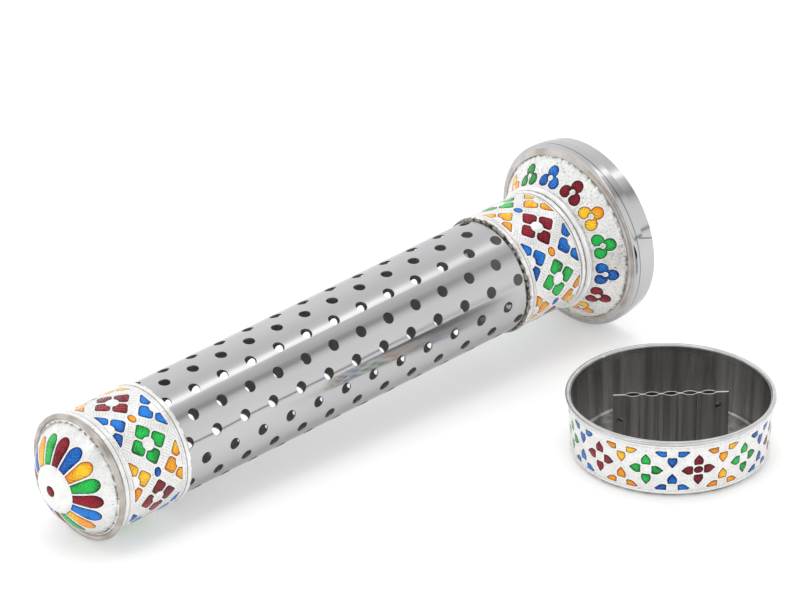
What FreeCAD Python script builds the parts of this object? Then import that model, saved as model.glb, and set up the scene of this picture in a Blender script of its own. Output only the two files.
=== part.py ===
"""Incense tower with its ash cup, in enamelled stainless steel.

The tower is a perforated tube with a domed cap, two enamelled bands, a flared skirt and a foot ring.
It lies on its side beside the cup, and it rests on its foot ring and on the bead round its dome.
The cup stands upright and holds a clip for incense sticks. The foot ring fits into the cup's mouth.

Row frame: the origin is the centre of the cup's base on the table, +Z is up, and +X runs along the
lying tower from its dome to its foot. The tower is drawn upright in its own frame, with its mouth at
height 0 and its dome at the top, and is laid down by the Placement that all its pieces share.
"""
import FreeCAD, Part
import math
import os

import Sketcher
from FreeCAD import Placement, Rotation, Vector

doc = FreeCAD.newDocument("incense_tower")

# ---------------------------------------------------------------- driving dimensions
SIZES = {
    # tower, measured up from its mouth
    "tube_radius": 25.0, "tube_wall": 0.6, "tube_foot": 20.0, "tube_top": 287.0,
    "hole_radius": 2.55, "hole_pitch": 15.46, "hole_first": 48.4, "hole_rows": 16, "row_holes": 14,
    "hole_turn": -2.0, "hole_reach": 2.0, "far_rows_first": 3, "far_rows_last": 8, "far_turn": -8.1,
    "far_shift": 1.4,
    "ring_radius": 41.5, "ring_mouth_radius": 40.5, "ring_taper_top": 6.0, "ring_top": 11.7,
    "ring_sheet": 0.9, "ring_round": 2.0, "ring_lip_radius": 39.2,
    "skirt_sheet": 0.6, "skirt_edge_radius": 39.7, "skirt_foot_radius": 39.1, "skirt_foot": 10.75,
    "skirt_neck_radius": 26.0, "skirt_neck": 23.4, "skirt_neck_top": 24.2, "neck_gap": 0.02,
    "collar_height": 25.2, "collar_ring": 25.86, "collar_wire": 0.84,
    "band_edge": 1.0, "band_rim_width": 2.4,
    "lower_band_foot": 26.5, "lower_band_top": 59.7, "lower_band_radius": 25.8, "lower_band_middle": 42.7,
    "upper_band_foot": 250.6, "upper_band_top": 286.6, "upper_band_radius": 26.1,
    "upper_band_middle": 268.4,
    "bead_height": 288.5, "bead_ring": 26.3, "bead_wire": 1.85,
    "dome_foot": 289.0, "dome_radius": 24.4, "dome_rise": 14.5, "dome_sheet": 0.6,
    "spigot_radius": 24.35, "spigot_foot": 282.0,
    "boss_radius": 10.2, "boss_rise": 0.5, "dot_radius": 2.5,
    # enamel
    "enamel": 0.25, "flower_step": 54.5, "lattice_half": 12.6, "lattice_clip": 12.9,
    "lower_first_flower": -31.9, "upper_first_flower": 1.6, "side_petal_shift": 5.6,
    "petals": 16, "first_petal": -2.0, "petal_inner": 10.6, "petal_tip": 20.9, "petal_root_half": 1.8,
    "petal_half": 3.0, "trefoils": 14, "first_trefoil": 4.3, "trefoil_middle": 18.9,
    "lobe_radius": 2.95, "lobe_down": 2.75, "lobe_up": 1.9, "lobe_side": 2.75, "tear_radius": 1.3,
    "tear_up": 0.4,
    # cup
    "cup_base_radius": 40.6, "cup_mouth_radius": 42.22, "cup_wall_top": 26.2, "cup_sheet": 0.5,
    "cup_round": 2.0, "rim_ring": 42.95, "rim_wire": 1.05, "cup_band_foot": 1.8, "cup_band_top": 24.9,
    "cup_band_sheet": 0.5, "cup_flowers": 12, "cup_first_flower": -89.0, "cup_middle": 12.9,
    "cup_half": 8.6, "cup_clip": 9.4, "cup_petal_shift": 4.8,
    # clip
    "clip_length": 48.2, "clip_top": 26.5, "clip_sheet": 0.45, "slot_pitch": 7.9, "slot_length": 6.2,
    "slot_bulge": 1.45, "slots": 5, "clip_turn": -39.2,
    # where the lying tower's mouth is
    "mouth_x": 60.4, "mouth_y": 111.1,
}

sheet = doc.addObject("Spreadsheet::Sheet", "sizes")
for row, (alias, value) in enumerate(SIZES.items(), start=1):
    sheet.set(f"A{row}", alias.replace("_", " "))
    sheet.set(f"B{row}", str(value))
    sheet.setAlias(f"B{row}", alias)
doc.recompute()


def size(alias):
    """A driving dimension's value, read back from the sheet."""
    return float(getattr(sheet, alias))


def value_of(expression):
    """An expression's value, with each alias written as sizes.alias."""
    result = sheet.evalExpression(expression)
    return float(getattr(result, "Value", result))


# ---------------------------------------------------------------- where the tower lies
def tower_placement():
    """The tower's own frame laid on the table: it touches at the ring's shoulder and at the bead."""
    shoulder_height = size("ring_top") - size("ring_round")
    shoulder_ring = size("ring_radius") - size("ring_round")
    span = size("bead_height") - shoulder_height
    tilt = math.atan2(shoulder_ring - size("bead_ring"), span)
    tilt += math.asin((size("ring_round") - size("bead_wire")) / span)
    axis = Vector(-math.cos(tilt), 0, -math.sin(tilt))
    upward = Vector(-math.sin(tilt), 0, math.cos(tilt))
    height = shoulder_ring * math.cos(tilt) + size("ring_round") + shoulder_height * math.sin(tilt)
    mouth = Vector(size("mouth_x"), size("mouth_y"), height)
    return Placement(mouth, Rotation(upward, axis.cross(upward), axis, "ZXY"))


LYING = tower_placement()
UPRIGHT = Placement()
parts = []


def keep(piece, name, place):
    """Gives a finished piece its name and its place, and lists it for export."""
    piece.Label = name
    piece.Placement = place
    parts.append(piece)
    return piece


# ---------------------------------------------------------------- helpers for turned pieces
def turned(name, corners, rounds=()):
    """A turned body. Each corner is a pair of expressions: radius and height. Each round is a corner's
    radius and height and the radius that it is rounded with."""
    body = doc.addObject("PartDesign::Body", name)
    sketch = body.newObject("Sketcher::SketchObject", name + "_profile")
    plane = [feature for feature in body.Origin.OriginFeatures if feature.Role == "XZ_Plane"][0]
    sketch.AttachmentSupport = [(plane, "")]
    sketch.MapMode = "FlatFace"
    points = [Vector(value_of(radius), value_of(height), 0) for radius, height in corners]
    for start, end in zip(points, points[1:] + points[:1]):
        sketch.addGeometry(Part.LineSegment(start, end), False)
    count = len(points)
    for line in range(count):
        sketch.addConstraint(Sketcher.Constraint("Coincident", line, 2, (line + 1) % count, 1))
    for line, (radius, height) in enumerate(corners):
        for kind, expression, value in (("DistanceX", radius, points[line].x),
                                        ("DistanceY", height, points[line].y)):
            index = sketch.addConstraint(Sketcher.Constraint(kind, -1, 1, line, 1, value))
            sketch.setExpression(f"Constraints[{index}]", expression)
    turn = body.newObject("PartDesign::Revolution", name + "_turned")
    turn.Profile = sketch
    turn.ReferenceAxis = (sketch, ["V_Axis"])
    turn.Angle = 360.0
    body.Tip = turn
    doc.recompute()
    for radius, height, round_radius in rounds:
        base = body.Tip
        edges = [f"Edge{number}" for number, edge in enumerate(base.Shape.Edges, start=1)
                 if is_circle(edge, value_of(radius), value_of(height))]
        fillet = body.newObject("PartDesign::Fillet", name + "_round")
        fillet.Base = (base, edges)
        fillet.Radius = value_of(round_radius)
        fillet.setExpression("Radius", round_radius)
        body.Tip = fillet
        doc.recompute()
    return body


def is_circle(edge, radius, height):
    """Whether an edge is the circle round the Z axis with this radius and height."""
    tolerance = 1e-4
    curve = edge.Curve
    if curve.TypeId != "Part::GeomCircle":
        return False
    return abs(curve.Radius - radius) < tolerance and abs(curve.Center.z - height) < tolerance


def bound(kind, name, **expressions):
    """A Part primitive whose properties are bound to the sheet."""
    primitive = doc.addObject(kind, name)
    for property_name, expression in expressions.items():
        primitive.setExpression(property_name.replace("_", "."), expression)
    return primitive


def ring(name, radius, wire, height):
    """A ring of round wire about the Z axis."""
    torus = bound("Part::Torus", name, Radius1=radius, Radius2=wire)
    torus.setExpression("Placement.Base.z", height)
    return torus


# ---------------------------------------------------------------- tower: tube
def perforated_tube():
    """The tube, drilled with rows of holes. Every second row is half a pitch further up."""
    outer = bound("Part::Cylinder", "tube_outside", Radius="sizes.tube_radius",
                  Height="sizes.tube_top - sizes.tube_foot")
    bore = bound("Part::Cylinder", "tube_bore", Radius="sizes.tube_radius - sizes.tube_wall",
                 Height="sizes.tube_top - sizes.tube_foot")
    for cylinder in (outer, bore):
        cylinder.setExpression("Placement.Base.z", "sizes.tube_foot")
    pipe = doc.addObject("Part::Cut", "tube_pipe")
    pipe.Base, pipe.Tool = outer, bore
    drills = doc.addObject("Part::Feature", "tube_drills")
    drills.Shape = Part.makeCompound(list(drill_rods()))
    tube = doc.addObject("Part::Cut", "tube_drilled")
    tube.Base, tube.Tool = pipe, drills
    return tube


def drill_rods():
    """One short rod for each hole. The sheet was pierced flat and then rolled, and its far rows sit a
    little askew of the near ones."""
    rows = int(size("hole_rows"))
    reach = size("hole_reach")
    for row in range(rows):
        far = size("far_rows_first") <= row <= size("far_rows_last")
        turn = math.radians(size("hole_turn") + row * 360 / rows + (size("far_turn") if far else 0))
        outward = Vector(math.cos(turn), math.sin(turn), 0)
        shifted = row % 2 == 1
        start = size("hole_first") - (0 if shifted else size("hole_pitch") / 2)
        start += size("far_shift") if far else 0
        for hole in range(int(size("row_holes"))):
            inner_end = Vector(0, 0, start + hole * size("hole_pitch"))
            inner_end += outward * (size("tube_radius") - reach)
            yield Part.makeCylinder(size("hole_radius"), 2 * reach, inner_end, outward)


# ---------------------------------------------------------------- tower: caps, bands and foot
def band(name, foot, top, radius):
    """A sleeve round the tube with a raised rim at each end."""
    return turned(name, [
        ("sizes.tube_radius", foot),
        (f"{radius} + 0.5 * sizes.band_edge", foot),
        (f"{radius} + 0.5 * sizes.band_edge", f"{foot} + sizes.band_rim_width"),
        (radius, f"{foot} + 1.3 * sizes.band_rim_width"),
        (radius, f"{top} - 1.3 * sizes.band_rim_width"),
        (f"{radius} + 0.5 * sizes.band_edge", f"{top} - sizes.band_rim_width"),
        (f"{radius} + 0.5 * sizes.band_edge", top),
        ("sizes.tube_radius", top),
    ])


def foot_ring():
    """The rolled ring that the tower stands on: open below, and turned in over the skirt's edge."""
    return turned("foot_ring", [
        ("sizes.ring_mouth_radius", "0"),
        ("sizes.ring_radius", "sizes.ring_taper_top"),
        ("sizes.ring_radius", "sizes.ring_top"),
        ("sizes.ring_lip_radius", "sizes.ring_top"),
        ("sizes.ring_lip_radius", "sizes.ring_top - sizes.ring_sheet"),
        ("sizes.ring_radius - sizes.ring_sheet", "sizes.ring_top - sizes.ring_sheet"),
        ("sizes.ring_radius - sizes.ring_sheet", "sizes.ring_taper_top"),
        ("sizes.ring_mouth_radius - sizes.ring_sheet", "0"),
    ], [
        ("sizes.ring_radius", "sizes.ring_top", "sizes.ring_round"),
        ("sizes.ring_radius - sizes.ring_sheet", "sizes.ring_top - sizes.ring_sheet",
         "sizes.ring_round - sizes.ring_sheet"),
    ])


def skirt():
    """The flared sheet: its flat edge sits under the foot ring's lip, and its neck hugs the tube."""
    return turned("skirt", [
        ("sizes.skirt_edge_radius", "sizes.skirt_foot"),
        ("sizes.skirt_foot_radius", "sizes.skirt_foot"),
        ("sizes.skirt_neck_radius", "sizes.skirt_neck"),
        ("sizes.skirt_neck_radius", "sizes.skirt_neck_top"),
        ("sizes.tube_radius + sizes.neck_gap", "sizes.skirt_neck_top"),
        ("sizes.tube_radius + sizes.neck_gap", "sizes.skirt_neck - sizes.skirt_sheet"),
        ("sizes.skirt_foot_radius - sizes.skirt_sheet", "sizes.skirt_foot - sizes.skirt_sheet"),
        ("sizes.skirt_edge_radius", "sizes.skirt_foot - sizes.skirt_sheet"),
    ])


def sphere_zone(name, swell, foot):
    """A slice of the dome's sphere, swollen outwards by one expression and cut flat at another."""
    zone = bound("Part::Sphere", name, Radius=f"{dome_sphere} + {swell}")
    zone.setExpression("Placement.Base.z", dome_centre)
    zone.setExpression("Angle1", f"asin(({foot} - ({dome_centre})) / ({dome_sphere} + {swell}))")
    return zone


dome_sphere = "(sizes.dome_radius ^ 2 + sizes.dome_rise ^ 2) / (2 * sizes.dome_rise)"
dome_centre = f"sizes.dome_foot + sizes.dome_rise - {dome_sphere}"


def dome_cap():
    """A thin spherical cap with a spigot below it that pushes into the tube."""
    shell = doc.addObject("Part::Cut", "dome_shell")
    shell.Base = sphere_zone("dome_outside", "0 * sizes.dome_sheet", "sizes.dome_foot")
    shell.Tool = sphere_zone("dome_inside", "-1 * sizes.dome_sheet", "sizes.dome_foot")
    spigot = turned("dome_spigot", [
        ("sizes.spigot_radius", "sizes.spigot_foot"),
        ("sizes.spigot_radius", "sizes.dome_foot + 0.1"),
        ("sizes.spigot_radius - sizes.dome_sheet", "sizes.dome_foot + 0.1"),
        ("sizes.spigot_radius - sizes.dome_sheet", "sizes.spigot_foot"),
    ])
    cap = doc.addObject("Part::Fuse", "dome_joined")
    cap.Base, cap.Tool = shell, spigot
    return cap


def dome_boss():
    """The raised disc at the dome's top. It follows the dome, and its edge is cut square."""
    layer = doc.addObject("Part::Cut", "boss_layer")
    layer.Base = sphere_zone("boss_outside", "sizes.boss_rise", "sizes.dome_foot")
    layer.Tool = sphere_zone("boss_inside", "0 * sizes.boss_rise", "sizes.dome_foot")
    edge = bound("Part::Cylinder", "boss_edge", Radius="sizes.boss_radius",
                 Height="2 * sizes.dome_rise")
    edge.setExpression("Placement.Base.z", "sizes.dome_foot")
    boss = doc.addObject("Part::Common", "boss_disc")
    boss.Base, boss.Tool = layer, edge
    return boss


# ---------------------------------------------------------------- enamel outlines
def blade(root, widest, tip, half_width, root_half_width):
    """A petal's outline along +X: a narrow root, a widest place and a pointed tip."""
    return [(root, root_half_width), (widest, half_width), ((widest + tip) / 2, 0.84 * half_width),
            (tip, 0), ((widest + tip) / 2, -0.84 * half_width), (widest, -half_width),
            (root, -root_half_width)]


TUBE_PETAL = blade(root=2.6, widest=5.0, tip=9.2, half_width=3.8, root_half_width=1.7)
CUP_PETAL = blade(root=2.4, widest=4.2, tip=7.2, half_width=2.05, root_half_width=1.5)
DOT = [(2.2 * math.cos(math.radians(turn)), 1.8 * math.sin(math.radians(turn)))
       for turn in range(0, 360, 30)]


def turned_outline(outline, degrees, shift=(0, 0)):
    """An outline turned about its flower's centre and then moved."""
    cosine, sine = math.cos(math.radians(degrees)), math.sin(math.radians(degrees))
    return [(x * cosine - y * sine + shift[0], x * sine + y * cosine + shift[1]) for x, y in outline]


def flower_petals(petal, turn, offset, shift, frame_at):
    """A flower's petals as prisms. Offset is how far it sits above its band's middle: a half flower has
    no petal that points away from the middle. Frame_at gives the surface's frame at a turn and an
    offset, with its radius first."""
    pointing_away = {1: 90, -1: 270}.get((offset > 0) - (offset < 0))
    for quarter in (0, 90, 180, 270):
        if quarter == pointing_away:
            continue
        sideways = {0: 1, 180: -1}.get(quarter, 0)
        radius = frame_at(turn, offset)[0]
        frame = frame_at(turn + sideways * math.degrees(shift / radius), offset)[1:]
        outline = [(x - abs(sideways) * shift, y) for x, y in petal]
        yield prism(turned_outline(outline, quarter), *frame)


def prism(outline, origin, across, along, outward, depth=6.0):
    """A solid with a planar outline, drawn at origin with axes across and along, and extruded both
    ways along outward."""
    corners = [origin + across * x + along * y - outward * (depth / 2) for x, y in outline]
    return Part.Face(Part.makePolygon(corners + corners[:1])).extrude(outward * depth)


def shell(radius_low, radius_high, low, high):
    """The enamel layer on a cylinder or a cone between two heights."""
    skin = size("enamel")
    height = high - low
    if abs(radius_low - radius_high) < 1e-9:
        outer = Part.makeCylinder(radius_low + skin, height, Vector(0, 0, low))
        return outer.cut(Part.makeCylinder(radius_low, height, Vector(0, 0, low)))
    outer = Part.makeCone(radius_low + skin, radius_high + skin, height, Vector(0, 0, low))
    return outer.cut(Part.makeCone(radius_low, radius_high, height, Vector(0, 0, low)))


def inlay(name, prisms, layer, place):
    """The enamel of one colour: the prisms' slices of a layer, as one compound of separate solids."""
    solids = []
    for solid in prisms:
        solids += [piece for piece in solid.common(layer).Solids if piece.Volume > 0.02]
    feature = doc.addObject("Part::Feature", name)
    feature.Shape = Part.makeCompound(solids)
    return keep(feature, name, place)


def local_frame(turn, radius, height, slope=0.0):
    """A point on a round surface with its directions across, along and outward. Slope is how fast the
    radius grows with height."""
    angle = math.radians(turn)
    radial = Vector(math.cos(angle), math.sin(angle), 0)
    across = Vector(-math.sin(angle), math.cos(angle), 0)
    along = (Vector(0, 0, 1) + radial * slope).normalize()
    return radial * radius + Vector(0, 0, height), across, along, across.cross(along)


# ---------------------------------------------------------------- enamel: the two tube bands
def band_enamel(name, middle, radius, first_flower, place):
    """Flowers in a lattice of diamonds. A whole flower sits on the band's middle, and half flowers sit
    on both edges between two whole ones, with a dot where the diamonds meet."""
    colours = {"maroon": [], "green": [], "blue": [], "amber": []}
    step = size("flower_step")
    for place_number in range(-6, 6):
        turn = first_flower + place_number * step / 2
        odd = (place_number // 2) % 2 == 1
        if place_number % 2 == 0:
            spots = [("green" if odd else "maroon", 0)]
        else:
            spots = [("blue" if odd else "amber", side * size("lattice_half")) for side in (-1, 1)]
            colours["amber" if odd else "blue"].append(prism(DOT, *local_frame(turn, radius, middle)))
        for colour, offset in spots:
            colours[colour] += flower_petals(
                TUBE_PETAL, turn, offset, size("side_petal_shift"),
                lambda at, up: (radius, *local_frame(at, radius, middle + up)))
    layer = shell(radius, radius, middle - size("lattice_clip"), middle + size("lattice_clip"))
    for colour, prisms in colours.items():
        inlay(f"{name}_enamel_{colour}", prisms, layer, place)


# ---------------------------------------------------------------- enamel: skirt, dome and cup
def skirt_enamel():
    """Trefoils round the skirt: one lobe towards the foot ring and two towards the tube."""
    low, high = size("skirt_foot"), size("skirt_neck")
    radius_low, radius_high = size("skirt_foot_radius"), size("skirt_neck_radius")
    slope = (radius_high - radius_low) / (high - low)
    middle = size("trefoil_middle")
    radius = radius_low + slope * (middle - low)
    layer = shell(radius_low, radius_high, low, high)
    names = ["blue", "green", "amber", "maroon"]
    colours = {colour: [] for colour in names}
    count = int(size("trefoils"))
    side, up = size("lobe_side"), size("lobe_up")
    for number in range(-8, count - 8):
        turn = size("first_trefoil") + number * 360 / count
        origin, across, along, outward = local_frame(turn, radius, middle, slope)

        def rod(rod_radius, x, y):
            return Part.makeCylinder(rod_radius, 4, origin + across * x + along * y - outward * 2,
                                     outward)

        lobes = [rod(size("lobe_radius"), x, y)
                 for x, y in ((0, -size("lobe_down")), (side, up), (-side, up))]
        tear = rod(size("tear_radius"), 0, size("tear_up"))
        colours[names[number % 4]].append(lobes[0].fuse(lobes[1:]).cut(tear))
    for colour, solids in colours.items():
        inlay(f"skirt_enamel_{colour}", solids, layer, LYING)


def dome_enamel():
    """Petals round the dome's boss, and a dot on the boss."""
    sphere = value_of(dome_sphere)
    centre = Vector(0, 0, value_of(dome_centre))
    skin = size("enamel")
    layer = Part.makeSphere(sphere + skin, centre).cut(Part.makeSphere(sphere, centre))
    half_box = size("ring_radius")
    above = Part.makeBox(2 * half_box, 2 * half_box, half_box,
                         Vector(-half_box, -half_box, size("dome_foot")))
    layer = layer.common(above)
    count = int(size("petals"))
    root, tip = size("petal_inner"), size("petal_tip")
    half, root_half = size("petal_half"), size("petal_root_half")
    one_side = [(root, root_half), (0.6 * tip + 0.4 * root, 0.95 * half), (tip - 2.2, half),
                (tip - 0.5, 0.5 * half)]
    outline = one_side + [(x, -y) for x, y in reversed(one_side)]
    names = ["maroon", "green", "amber", "blue"]
    colours = {colour: [] for colour in names}
    for number in range(count):
        turned_petal = turned_outline(outline, size("first_petal") + number * 360 / count)
        colours[names[number % 4]].append(
            prism(turned_petal, Vector(0, 0, size("dome_foot")), Vector(1, 0, 0), Vector(0, 1, 0),
                  Vector(0, 0, 1), depth=60))
    for colour, prisms in colours.items():
        inlay(f"dome_enamel_{colour}", prisms, layer, LYING)
    swollen = sphere + size("boss_rise")
    dot_layer = Part.makeSphere(swollen + skin, centre).cut(Part.makeSphere(swollen, centre))
    dot = Part.makeCylinder(size("dot_radius"), 40, centre)
    inlay("boss_enamel_maroon", [dot], dot_layer, LYING)


def cup_radius(height):
    """The outside radius of the cup's enamelled band at a height."""
    slope = (size("cup_mouth_radius") - size("cup_base_radius")) / size("cup_wall_top")
    return size("cup_base_radius") + size("cup_band_sheet") + slope * height


def cup_enamel():
    """Flowers round the cup, with half flowers between them on both edges of the band."""
    low, high = size("cup_middle") - size("cup_clip"), size("cup_middle") + size("cup_clip")
    layer = shell(cup_radius(low), cup_radius(high), low, high)
    colours = {"maroon": [], "green": [], "blue": [], "amber": []}
    count = int(size("cup_flowers"))
    slope = (cup_radius(high) - cup_radius(low)) / (high - low)

    def frame_at(turn, offset):
        height = size("cup_middle") + offset
        return (cup_radius(height), *local_frame(turn, cup_radius(height), height, slope))

    for number in range(2 * count):
        turn = size("cup_first_flower") + number * 180 / count
        odd = (number // 2) % 2 == 1
        if number % 2 == 0:
            spots = [("maroon" if odd else "green", 0)]
        else:
            spots = [("amber" if odd else "blue", side * size("cup_half")) for side in (-1, 1)]
        for colour, offset in spots:
            colours[colour] += flower_petals(CUP_PETAL, turn, offset, size("cup_petal_shift"), frame_at)
    for colour, prisms in colours.items():
        inlay(f"cup_enamel_{colour}", prisms, layer, UPRIGHT)


# ---------------------------------------------------------------- cup and clip
def cup_shell():
    """The drawn cup: a flat base, a wall that opens slightly upwards and a rolled rim."""
    bowl = turned("cup_bowl", [
        ("0", "0"),
        ("sizes.cup_base_radius", "0"),
        ("sizes.cup_mouth_radius", "sizes.cup_wall_top"),
        ("sizes.cup_mouth_radius - sizes.cup_sheet", "sizes.cup_wall_top"),
        ("sizes.cup_base_radius - sizes.cup_sheet", "sizes.cup_sheet"),
        ("0", "sizes.cup_sheet"),
    ], [
        ("sizes.cup_base_radius", "0", "sizes.cup_round"),
        ("sizes.cup_base_radius - sizes.cup_sheet", "sizes.cup_sheet", "sizes.cup_round - sizes.cup_sheet"),
    ])
    rim = ring("cup_rim", "sizes.rim_ring", "sizes.rim_wire", "sizes.cup_wall_top")
    joined = doc.addObject("Part::Fuse", "cup_joined")
    joined.Base, joined.Tool = bowl, rim
    return joined


def cup_band():
    """The enamelled sleeve pressed round the cup's wall."""
    slope = "(sizes.cup_mouth_radius - sizes.cup_base_radius) / sizes.cup_wall_top"
    foot = f"sizes.cup_base_radius + {slope} * sizes.cup_band_foot"
    top = f"sizes.cup_base_radius + {slope} * sizes.cup_band_top"
    return turned("cup_band", [
        (foot, "sizes.cup_band_foot"),
        (f"{foot} + sizes.cup_band_sheet", "sizes.cup_band_foot"),
        (f"{top} + sizes.cup_band_sheet", "sizes.cup_band_top"),
        (top, "sizes.cup_band_top"),
    ])


def clip_strip(name, side):
    """One corrugated strip of the clip. The two strips touch between the slots and bow apart round
    each stick."""
    sheet_thickness = size("clip_sheet")
    half_slot = size("slot_length") / 2
    bulge = size("slot_bulge")
    edges = []
    for offset in (0.0, sheet_thickness):
        start = Vector(-size("clip_length") / 2, side * offset, 0)
        line = []
        for slot in range(int(size("slots"))):
            middle = (slot - (size("slots") - 1) / 2) * size("slot_pitch")
            left = Vector(middle - half_slot, side * offset, 0)
            crown = Vector(middle, side * (bulge + offset), 0)
            right = Vector(middle + half_slot, side * offset, 0)
            line += [Part.makeLine(start, left), Part.Arc(left, crown, right).toShape()]
            start = right
        end = Vector(size("clip_length") / 2, side * offset, 0)
        line.append(Part.makeLine(start, end))
        edges.append(line)
    inner, outer = edges
    ends = [Part.makeLine(inner[0].Vertexes[0].Point, outer[0].Vertexes[0].Point),
            Part.makeLine(inner[-1].Vertexes[-1].Point, outer[-1].Vertexes[-1].Point)]
    outline = Part.Wire(Part.__sortEdges__(inner + outer + ends))
    strip = doc.addObject("Part::Feature", name)
    height = size("clip_top") - size("cup_sheet")
    strip.Shape = Part.Face(outline).extrude(Vector(0, 0, height))
    turn = Rotation(Vector(0, 0, 1), size("clip_turn"))
    return keep(strip, name, Placement(Vector(0, 0, size("cup_sheet")), turn))


# ---------------------------------------------------------------- the assembly
def build():
    keep(perforated_tube(), "perforated_tube", LYING)
    keep(foot_ring(), "foot_ring", LYING)
    keep(skirt(), "skirt", LYING)
    for name, radius, wire, height in (
            ("collar_bead", "sizes.collar_ring", "sizes.collar_wire", "sizes.collar_height"),
            ("dome_bead", "sizes.bead_ring", "sizes.bead_wire", "sizes.bead_height")):
        bead = doc.addObject("Part::Compound", name + "_set")
        bead.Links = [ring(name + "_wire", radius, wire, height)]
        keep(bead, name, LYING)
    keep(band("lower_band", "sizes.lower_band_foot", "sizes.lower_band_top",
              "sizes.lower_band_radius"), "lower_band", LYING)
    keep(band("upper_band", "sizes.upper_band_foot", "sizes.upper_band_top",
              "sizes.upper_band_radius"), "upper_band", LYING)
    keep(dome_cap(), "dome_cap", LYING)
    keep(dome_boss(), "dome_boss", LYING)
    for name in ("lower", "upper"):
        band_enamel(name, size(name + "_band_middle"), size(name + "_band_radius"),
                    size(name + "_first_flower"), LYING)
    skirt_enamel()
    dome_enamel()
    keep(cup_shell(), "cup_shell", UPRIGHT)
    keep(cup_band(), "cup_band", UPRIGHT)
    cup_enamel()
    clip_strip("clip_front", -1)
    clip_strip("clip_back", 1)


def check_and_export():
    """Stops on any failed object or shape, and writes one STEP file for each piece."""
    doc.recompute()
    for item in doc.Objects:
        if {"Invalid", "Error"} & set(item.State):
            raise RuntimeError(f"{item.Name} is {item.State}")
    os.makedirs("parts", exist_ok=True)
    for part in parts:
        shape = part.Shape
        if shape.isNull() or not shape.isValid() or not shape.Solids:
            raise RuntimeError(f"{part.Label} has no valid solid")
        shape.exportStep(f"parts/{part.Label}.step")
        box = shape.BoundBox
        print(f"{part.Label:24s} {len(shape.Solids):3d} solids {shape.Volume:10.1f} mm3  "
              f"x {box.XMin:7.1f} {box.XMax:7.1f}  y {box.YMin:6.1f} {box.YMax:6.1f}  "
              f"z {box.ZMin:6.2f} {box.ZMax:6.2f}")


build()
check_and_export()
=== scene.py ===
# %% [markdown]
# # An incense tower and its ash cup
# The tower is a polished perforated tube with two enamelled bands, a dome and a flared foot. It lies
# behind a shallow cup that holds a clip for incense sticks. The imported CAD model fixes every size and
# place, so this notebook starts from it and adds what makes metal look like metal and enamel like
# enamel: stamped relief, glossy pads of colour, brushed and polished steel, and a soft light tent.

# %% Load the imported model
import math
from collections import namedtuple

import bpy
import numpy as np
from mathutils import Matrix, Vector
from mathutils.geometry import delaunay_2d_cdt


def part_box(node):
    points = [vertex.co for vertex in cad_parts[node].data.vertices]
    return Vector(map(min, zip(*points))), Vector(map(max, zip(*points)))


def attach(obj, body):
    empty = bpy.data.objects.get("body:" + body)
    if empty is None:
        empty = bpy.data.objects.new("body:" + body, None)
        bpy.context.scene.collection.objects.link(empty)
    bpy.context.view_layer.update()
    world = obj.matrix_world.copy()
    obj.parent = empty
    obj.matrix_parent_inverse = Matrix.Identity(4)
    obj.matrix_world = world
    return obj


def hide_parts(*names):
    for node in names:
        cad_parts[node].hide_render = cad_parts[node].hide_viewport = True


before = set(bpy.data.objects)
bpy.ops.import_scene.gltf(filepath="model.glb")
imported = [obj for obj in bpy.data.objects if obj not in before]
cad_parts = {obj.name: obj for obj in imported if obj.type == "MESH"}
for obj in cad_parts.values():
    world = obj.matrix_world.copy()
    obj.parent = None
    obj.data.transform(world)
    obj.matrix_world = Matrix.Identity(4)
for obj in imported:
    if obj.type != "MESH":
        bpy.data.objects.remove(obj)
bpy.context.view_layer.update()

# %% [markdown]
# ## Where the tower lies
# The tower is easiest to describe standing up, with its mouth at height 0 and Z through its dome. Two
# rings of wire, one by the foot and one by the dome, give the line through it: the middle of a ring's
# box is the ring's own middle. The foot ring's lowest corner along that line is the mouth.

# %% The tower's own frame
MM = 0.001


def corners_in(piece):
    """A mesh's vertices in the row frame, in metres."""
    flat = np.empty(3 * len(piece.data.vertices), np.float32)
    piece.data.vertices.foreach_get("co", flat)
    return flat.reshape(-1, 3).astype(float)


def corners_of(node):
    """A CAD node's vertices in the row frame, in metres."""
    return corners_in(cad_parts[node])


def middle_of(node):
    """The middle of a CAD node's box."""
    low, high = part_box(node)
    return (low + high) / 2


def tower_frame():
    """The matrix from the upright tower to the lying one."""
    start = middle_of("collar_bead")
    axis = (middle_of("dome_bead") - start).normalized()
    upward = (Vector((0, 0, 1)) - axis * axis.z).normalized()
    along = (corners_of("foot_ring") - np.array(start)) @ np.array(axis)
    mouth = start + axis * along.min()
    columns = Matrix((upward, axis.cross(upward), axis)).transposed().to_4x4()
    return Matrix.Translation(mouth) @ columns


TOWER = tower_frame()
TOWER_AXES, TOWER_START = np.array(TOWER)[:3, :3], np.array(TOWER)[:3, 3]
CUP = Matrix.Identity(4)


def reach_of(node, place):
    """A CAD node's lowest and highest place and its smallest and widest radius, in mm, in a frame."""
    inverse = np.array(place.inverted())
    own = (corners_of(node) @ inverse[:3, :3].T + inverse[:3, 3]) / MM
    radius = np.hypot(own[:, 0], own[:, 1])
    return own[:, 2].min(), own[:, 2].max(), radius.min(), radius.max()


for label in ("perforated_tube", "lower_band", "upper_band", "skirt", "dome_cap"):
    print(label, [round(float(value), 2) for value in reach_of(label, TOWER)])

# %% [markdown]
# ## Round surfaces
# Every decorated piece here is a surface of revolution: a sleeve, a cone, a cup wall or a dome. One
# small class covers them all. A place on it is a turn in degrees and a reach, the distance along the
# profile in millimetres, and a lift is how far a point stands off the surface. Patterns can then be
# drawn flat and wrapped, as a metal strip is stamped flat and rolled.

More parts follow.
